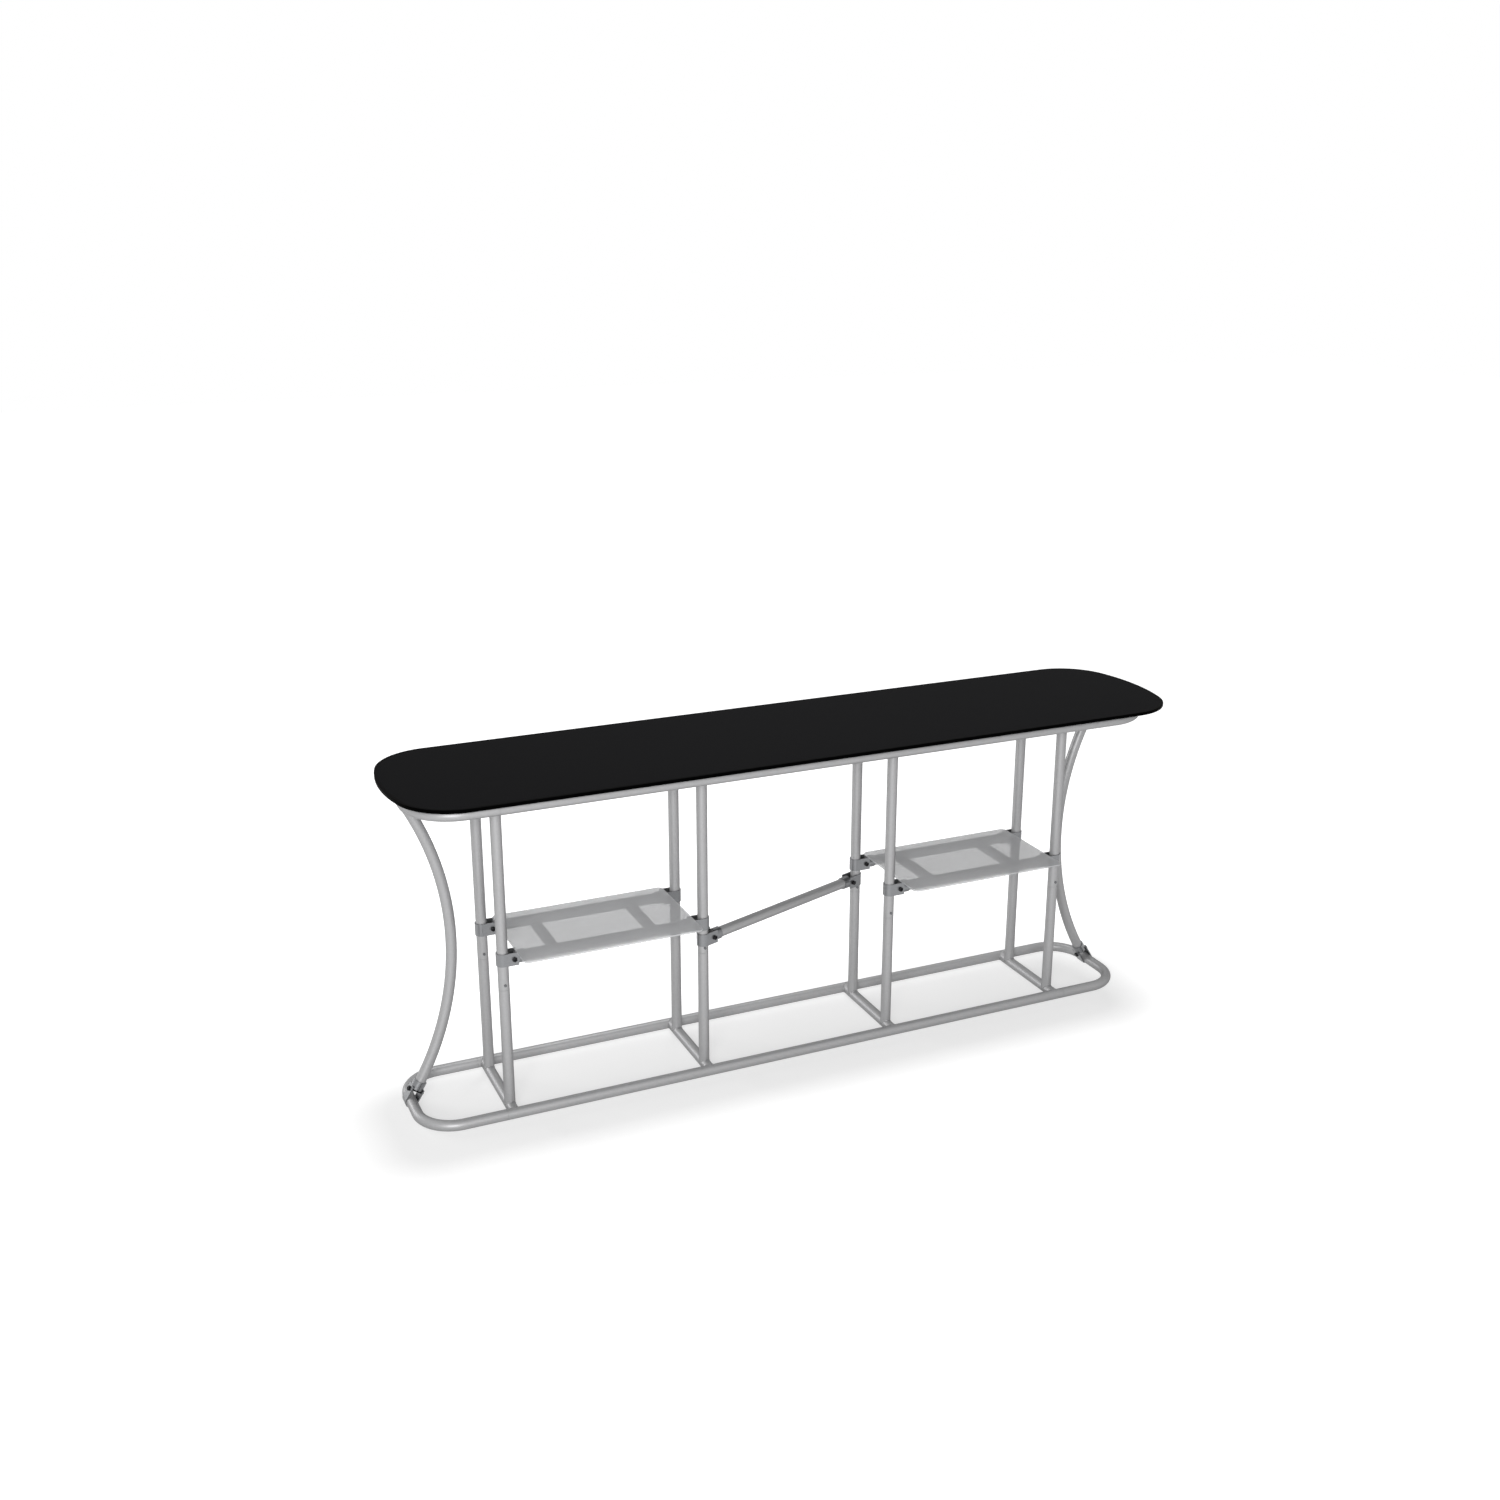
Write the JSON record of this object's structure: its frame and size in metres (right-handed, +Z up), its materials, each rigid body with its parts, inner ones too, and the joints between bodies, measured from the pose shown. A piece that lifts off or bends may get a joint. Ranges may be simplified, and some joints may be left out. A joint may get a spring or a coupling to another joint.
{
  "type": "information counter",
  "caption": "Long fold-away counter: a round-ended black board on a light grey tube frame with concave end struts, clamped shelf rails, clear sheets and a diagonal brace.",
  "frame": {"origin": "on the floor under the middle of the board", "axes": "+X along the counter to the right, +Y to the back, +Z up"},
  "size_m": [2.4896, 0.56, 1],
  "materials": {
    "board": "fine-textured matt black",
    "block": "stained black",
    "screw": "zinc plated",
    "sheet": "translucent grey acrylic",
    "clamp": "grey cast, matt",
    "bolt": "black oxide",
    "button": "polished",
    "spigot": "plain mill finish",
    "tube": "satin anodised"
  },
  "bodies": {
    "frame": {"base_end_left": "tube", "base_end_right": "tube", "base_rail_back": "tube", "base_rail_front": "tube", "brace_clamp_back": "clamp", "brace_clamp_front": "clamp", "brace_tube": "tube", "clamp_bolts": "bolt", "clamp_nuts": "bolt", "end_strut_left": "tube", "end_strut_right": "tube", "lower_frame_1": "tube", "lower_frame_2": "tube", "lower_frame_3": "tube", "lower_frame_4": "tube", "ring_spigots": "spigot", "shelf_bar_left_a": "tube", "shelf_bar_left_b": "tube", "shelf_bar_right_a": "tube", "shelf_bar_right_b": "tube", "shelf_clamp_left_back_a": "clamp", "shelf_clamp_left_back_b": "clamp", "shelf_clamp_left_front_a": "clamp", "shelf_clamp_left_front_b": "clamp", "shelf_clamp_right_back_a": "clamp", "shelf_clamp_right_back_b": "clamp", "shelf_clamp_right_front_a": "clamp", "shelf_clamp_right_front_b": "clamp", "shelf_rail_left_back": "tube", "shelf_rail_left_front": "tube", "shelf_rail_right_back": "tube", "shelf_rail_right_front": "tube", "strut_clamp_left": "clamp", "strut_clamp_right": "clamp", "top_end_left": "tube", "top_end_right": "tube", "top_rail_back": "tube", "top_rail_front": "tube", "upper_frame_1": "tube", "upper_frame_2": "tube", "upper_frame_3": "tube", "upper_frame_4": "tube"},
    "top": {"countertop": "board", "locating_blocks": "block", "block_screws": "screw"},
    "shelf_sheet_left": {"shelf_sheet_left": "sheet"},
    "shelf_sheet_right": {"shelf_sheet_right": "sheet"},
    "snap_button_back_1": {"snap_button_back_1": "button"},
    "snap_button_back_2": {"snap_button_back_2": "button"},
    "snap_button_back_3": {"snap_button_back_3": "button"},
    "snap_button_back_4": {"snap_button_back_4": "button"},
    "snap_button_front_1": {"snap_button_front_1": "button"},
    "snap_button_front_2": {"snap_button_front_2": "button"},
    "snap_button_front_3": {"snap_button_front_3": "button"},
    "snap_button_front_4": {"snap_button_front_4": "button"}
  },
  "joints": [
    {"name": "top_lift_off", "type": "slide", "parent": "frame", "child": "top", "axis": [0, 0, 1], "range_m": [0, 0.15]},
    {"name": "shelf_sheet_left_lift_off", "type": "slide", "parent": "frame", "child": "shelf_sheet_left", "axis": [0, 0, 1], "range_m": [0, 0.15]},
    {"name": "shelf_sheet_right_lift_off", "type": "slide", "parent": "frame", "child": "shelf_sheet_right", "axis": [0, 0, 1], "range_m": [0, 0.15]},
    {"name": "snap_button_back_1_press", "type": "slide", "parent": "frame", "child": "snap_button_back_1", "axis": [0, 1, 0], "range_m": [0, 0.0045], "stiffness_N_per_m": 900, "springref_m": -0.003},
    {"name": "snap_button_back_2_press", "type": "slide", "parent": "frame", "child": "snap_button_back_2", "axis": [0, 1, 0], "range_m": [0, 0.0045], "stiffness_N_per_m": 900, "springref_m": -0.003},
    {"name": "snap_button_back_3_press", "type": "slide", "parent": "frame", "child": "snap_button_back_3", "axis": [0, 1, 0], "range_m": [0, 0.0045], "stiffness_N_per_m": 900, "springref_m": -0.003},
    {"name": "snap_button_back_4_press", "type": "slide", "parent": "frame", "child": "snap_button_back_4", "axis": [0, 1, 0], "range_m": [0, 0.0045], "stiffness_N_per_m": 900, "springref_m": -0.003},
    {"name": "snap_button_front_1_press", "type": "slide", "parent": "frame", "child": "snap_button_front_1", "axis": [0, 1, 0], "range_m": [0, 0.0045], "stiffness_N_per_m": 900, "springref_m": -0.003},
    {"name": "snap_button_front_2_press", "type": "slide", "parent": "frame", "child": "snap_button_front_2", "axis": [0, 1, 0], "range_m": [0, 0.0045], "stiffness_N_per_m": 900, "springref_m": -0.003},
    {"name": "snap_button_front_3_press", "type": "slide", "parent": "frame", "child": "snap_button_front_3", "axis": [0, 1, 0], "range_m": [0, 0.0045], "stiffness_N_per_m": 900, "springref_m": -0.003},
    {"name": "snap_button_front_4_press", "type": "slide", "parent": "frame", "child": "snap_button_front_4", "axis": [0, 1, 0], "range_m": [0, 0.0045], "stiffness_N_per_m": 900, "springref_m": -0.003}
  ]
}
